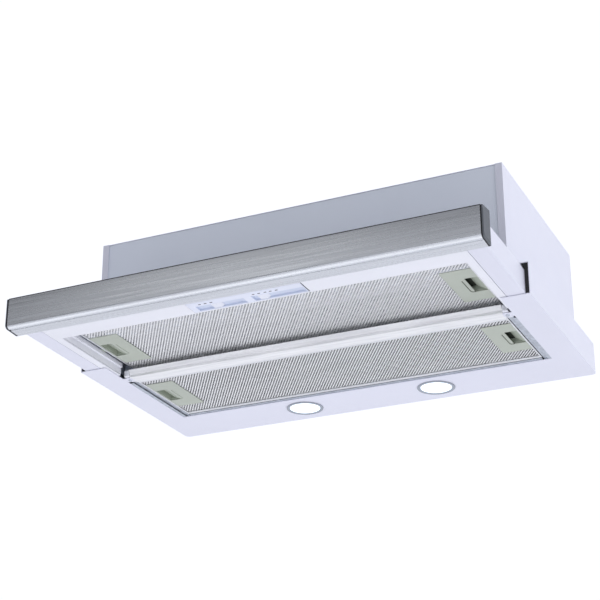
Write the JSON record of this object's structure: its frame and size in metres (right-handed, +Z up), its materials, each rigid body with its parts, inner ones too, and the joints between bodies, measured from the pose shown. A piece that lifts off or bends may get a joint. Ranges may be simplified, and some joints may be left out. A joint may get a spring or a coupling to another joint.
{
  "type": "under cabinet range hood",
  "caption": "Telescopic under-cabinet range hood: painted body, pull-out drawer with brushed steel front bar, mesh grease filters, slide switches, lamps and top duct outlet.",
  "frame": {"origin": "point on the top panel's upper face, on the centre line and 150 mm in front of the wall face, where the hood is screwed up to the cabinet floor", "axes": "+X to the right as seen from the room, +Y towards the wall, +Z up"},
  "size_m": [0.598, 0.4504, 0.2014],
  "materials": {
    "white_paint": "satin powder coat",
    "panel_paint": "satin powder coat",
    "brushed_steel": "brushed along the bar",
    "zinc_steel": "zinc plated",
    "filter_aluminium": "bright rolled",
    "cap_plastic": "matt moulded",
    "white_plastic": "satin moulded",
    "knob_plastic": "moulded",
    "latch_plastic": "matt moulded",
    "black_plastic": "matt moulded",
    "grey_plastic": "matt moulded",
    "motor_steel": "plain steel",
    "bezel": "satin moulded",
    "lamp_lens": "frosted, lit"
  },
  "bodies": {
    "housing": {"top_panel": "white_paint", "back_panel": "white_paint", "front_panel": "panel_paint", "lower_tray": "white_paint", "crossbar": "filter_aluminium", "outlet_collar": "black_plastic", "flap_pin": "brushed_steel", "scroll_left": "grey_plastic", "scroll_right": "grey_plastic", "motor": "motor_steel", "motor_bracket": "zinc_steel", "capacitor": "white_plastic", "terminal_box": "white_plastic", "terminal_cover": "white_plastic", "cable_gland": "black_plastic", "lamp_driver": "white_plastic", "side_panel_left": "white_paint", "crossbar_end_left": "white_plastic", "filter_rail_left": "zinc_steel", "fixed_runner_left": "zinc_steel", "lamp_housing_left": "bezel", "lamp_lens_left": "lamp_lens", "side_panel_right": "white_paint", "crossbar_end_right": "white_plastic", "filter_rail_right": "zinc_steel", "fixed_runner_right": "zinc_steel", "lamp_housing_right": "bezel", "lamp_lens_right": "lamp_lens"},
    "drawer": {"front_bar": "brushed_steel", "bar_carrier": "zinc_steel", "control_frame": "white_plastic", "control_panel": "white_plastic", "switch_module": "black_plastic", "drawer_rear_tie": "zinc_steel", "bar_end_cap_left": "cap_plastic", "side_cover_left": "white_paint", "catch_rail_left": "zinc_steel", "moving_runner_left": "zinc_steel", "bar_end_cap_right": "cap_plastic", "side_cover_right": "white_paint", "catch_rail_right": "zinc_steel", "moving_runner_right": "zinc_steel"},
    "rotor": {"impeller": "black_plastic", "motor_shaft": "brushed_steel"},
    "flap_front": {"damper_flap_front": "black_plastic"},
    "flap_rear": {"damper_flap_rear": "black_plastic"},
    "light_knob": {"light_slider": "knob_plastic"},
    "fan_knob": {"fan_slider": "knob_plastic"},
    "front_filter": {"front_filter_frame": "filter_aluminium", "front_filter_mesh": "filter_aluminium", "front_latch_plate_left": "latch_plastic", "front_latch_plate_right": "latch_plastic"},
    "rear_filter": {"rear_filter_frame": "filter_aluminium", "rear_filter_mesh": "filter_aluminium", "rear_latch_plate_left": "latch_plastic", "rear_latch_plate_right": "latch_plastic"},
    "front_latch_left": {"front_latch_left": "latch_plastic"},
    "front_latch_right": {"front_latch_right": "latch_plastic"},
    "rear_latch_left": {"rear_latch_left": "latch_plastic"},
    "rear_latch_right": {"rear_latch_right": "latch_plastic"}
  },
  "joints": [
    {"name": "drawer_slide", "type": "slide", "parent": "housing", "child": "drawer", "axis": [0, 1, 0], "range_m": [0, 0.142]},
    {"name": "fan_spin", "type": "hinge", "parent": "housing", "child": "rotor", "pos_m": [0, 0.0256, -0.0786], "axis": [1, 0, 0], "continuous": true},
    {"name": "damper_front_swing", "type": "hinge", "parent": "housing", "child": "flap_front", "pos_m": [0, 0.0776, 0.0134], "axis": [-1, 0, 0], "range_deg": [0, 75]},
    {"name": "damper_rear_swing", "type": "hinge", "parent": "housing", "child": "flap_rear", "pos_m": [0, 0.0776, 0.0134], "axis": [1, 0, 0], "range_deg": [0, 75]},
    {"name": "light_switch_slide", "type": "slide", "parent": "drawer", "child": "light_knob", "axis": [1, 0, 0], "range_m": [-0.018, 0]},
    {"name": "fan_switch_slide", "type": "slide", "parent": "drawer", "child": "fan_knob", "axis": [1, 0, 0], "range_m": [-0.007, 0.0205]},
    {"name": "front_filter_tilt", "type": "hinge", "parent": "drawer", "child": "front_filter", "pos_m": [0, -0.0749, -0.1586], "axis": [1, 0, 0], "range_deg": [0, 10]},
    {"name": "rear_filter_tilt", "type": "hinge", "parent": "housing", "child": "rear_filter", "pos_m": [0, 0.0666, -0.1716], "axis": [1, 0, 0], "range_deg": [0, 60]},
    {"name": "front_latch_left_slide", "type": "slide", "parent": "front_filter", "child": "front_latch_left", "axis": [1, 0, 0], "range_m": [0, 0.0055], "stiffness_N_per_m": 300},
    {"name": "front_latch_right_slide", "type": "slide", "parent": "front_filter", "child": "front_latch_right", "axis": [-1, 0, 0], "range_m": [0, 0.0055], "stiffness_N_per_m": 300},
    {"name": "rear_latch_left_slide", "type": "slide", "parent": "rear_filter", "child": "rear_latch_left", "axis": [1, 0, 0], "range_m": [0, 0.0055], "stiffness_N_per_m": 300},
    {"name": "rear_latch_right_slide", "type": "slide", "parent": "rear_filter", "child": "rear_latch_right", "axis": [-1, 0, 0], "range_m": [0, 0.0055], "stiffness_N_per_m": 300}
  ]
}
